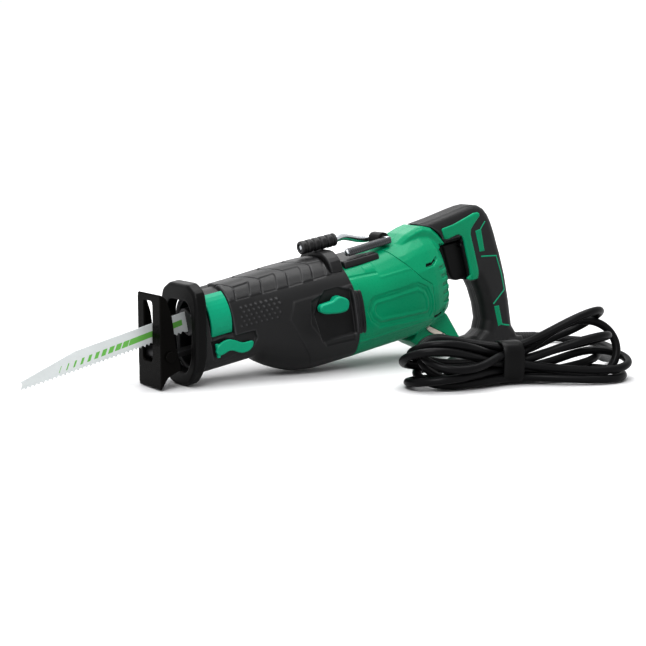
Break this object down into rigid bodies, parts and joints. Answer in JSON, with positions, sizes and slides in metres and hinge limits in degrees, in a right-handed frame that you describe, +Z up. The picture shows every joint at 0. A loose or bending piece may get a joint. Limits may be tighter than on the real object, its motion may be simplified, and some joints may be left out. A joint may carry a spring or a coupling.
{
  "type": "reciprocating saw",
  "caption": "Corded reciprocating saw lying on its nose collar and D-handle, with blade, pivoting shoe, hanging hook and its cord tied in a hank.",
  "frame": {"origin": "on the surface the saw rests on, under the middle of its bounding box without the cord", "axes": "+X to the rear of the saw (the blade points along -X and 10 degrees down), +Y to its right-hand side, +Z up"},
  "size_m": [0.6893, 0.2881, 0.1668],
  "materials": {
    "black_rubber": "moulded rubber, satin",
    "black_plastic": "moulded, satin",
    "green_plastic": "moulded, gloss",
    "black_paint": "gloss black",
    "steel": "machined",
    "bright_steel": "bright",
    "alloy": "die cast",
    "iron": "laminated or cast",
    "brass": "brass",
    "copper": "copper",
    "carbon": "pressed carbon",
    "grey_plastic": "moulded, pale grey",
    "cord_jacket": "extruded jacket, satin"
  },
  "bodies": {
    "housing": {"nose_collar": "black_rubber", "front_cover": "black_rubber", "saddle_band": "black_rubber", "gear_case": "alloy", "plunger_bushing_front": "brass", "plunger_bushing_rear": "brass", "gear_bearing_upper": "steel", "gear_bearing_lower": "steel", "field_core": "iron", "motor_bearing_front": "steel", "motor_bearing_rear": "steel", "rear_bearing_plate": "black_plastic", "brush_left": "carbon", "brush_holder_left": "brass", "brush_right": "carbon", "brush_holder_right": "brass", "motor_case": "green_plastic", "tail_cover_left": "green_plastic", "tail_cover_right": "green_plastic", "lozenge_cover": "grey_plastic", "lozenge_screw": "steel", "handle_shell_left": "black_rubber", "handle_shell_right": "black_rubber", "trigger_surround_left": "green_plastic", "trigger_surround_right": "green_plastic", "trigger_pin": "bright_steel", "switch_body": "black_plastic", "shell_screw_1": "steel", "shell_screw_2": "steel", "shell_screw_3": "steel", "hook_rest": "black_rubber", "hook_mount": "black_plastic", "cord_guard": "black_rubber", "cord_lead": "cord_jacket", "cord_hank": "cord_jacket", "cord_tie": "black_plastic", "plug_body": "black_rubber", "plug_blade_left": "brass", "plug_blade_right": "brass"},
    "plunger": {"plunger": "steel", "blade_clamp": "steel", "clamp_pin": "bright_steel", "saw_blade": "bright_steel", "crank_yoke": "steel"},
    "blade_release_lever": {"blade_release_lever": "green_plastic"},
    "shoe_bracket": {"shoe_bracket": "steel", "shoe_pivot_pin": "bright_steel"},
    "shoe": {"shoe": "black_paint"},
    "shoe_lever": {"shoe_lever": "green_plastic"},
    "orbital_lever": {"orbital_lever": "green_plastic"},
    "armature": {"armature_shaft": "steel", "armature_core": "copper", "commutator": "copper", "fan": "black_plastic"},
    "drive_gear": {"drive_gear": "steel", "balance_weight": "iron", "gear_shaft": "steel"},
    "trigger": {"trigger": "black_plastic"},
    "hook": {"hook_wire": "bright_steel", "hook_sleeve": "black_rubber"}
  },
  "joints": [
    {"name": "plunger_slide", "type": "slide", "parent": "housing", "child": "plunger", "axis": [0.9848, 0, 0.1736], "range_m": [-0.016, 0.016]},
    {"name": "blade_release_turn", "type": "hinge", "parent": "housing", "child": "blade_release_lever", "pos_m": [-0.10625, 0.002, 0.06538], "axis": [-0.9848, 0, -0.1736], "range_deg": [0, 30], "stiffness_Nm_per_rad": 0.4, "springref_deg": -14.32},
    {"name": "shoe_depth_slide", "type": "slide", "parent": "housing", "child": "shoe_bracket", "axis": [-0.9848, 0, -0.1736], "range_m": [0, 0.02]},
    {"name": "shoe_tilt", "type": "hinge", "parent": "shoe_bracket", "child": "shoe", "pos_m": [-0.1574, 0.002, 0.033], "axis": [0, 1, 0], "range_deg": [-12, 15]},
    {"name": "shoe_lever_turn", "type": "hinge", "parent": "housing", "child": "shoe_lever", "pos_m": [-0.10808, -0.0288, 0.03256], "axis": [0.1736, 0, -0.9848], "range_deg": [0, 75]},
    {"name": "orbital_lever_turn", "type": "hinge", "parent": "housing", "child": "orbital_lever", "pos_m": [0.02528, -0.04, 0.07385], "axis": [0, -1, 0], "range_deg": [0, 80]},
    {"name": "armature_spin", "type": "hinge", "parent": "housing", "child": "armature", "pos_m": [0.09529, 0.002, 0.06842], "axis": [0.9848, 0, 0.1736], "continuous": true},
    {"name": "drive_gear_spin", "type": "hinge", "parent": "housing", "child": "drive_gear", "pos_m": [-0.01084, 0.002, 0.05986], "axis": [-0.1736, 0, 0.9848], "continuous": true},
    {"name": "trigger_pull", "type": "hinge", "parent": "housing", "child": "trigger", "pos_m": [0.2115, 0.002, 0.12344], "axis": [0, -1, 0], "range_deg": [0, 9], "stiffness_Nm_per_rad": 0.8, "springref_deg": -8.59},
    {"name": "hook_swing", "type": "hinge", "parent": "housing", "child": "hook", "pos_m": [0.10817, 0.002, 0.13355], "axis": [0, 1, 0], "range_deg": [0, 120]}
  ],
  "couplings": [
    {"joint": "drive_gear_spin", "follows": "armature_spin", "ratio": -0.13636}
  ]
}
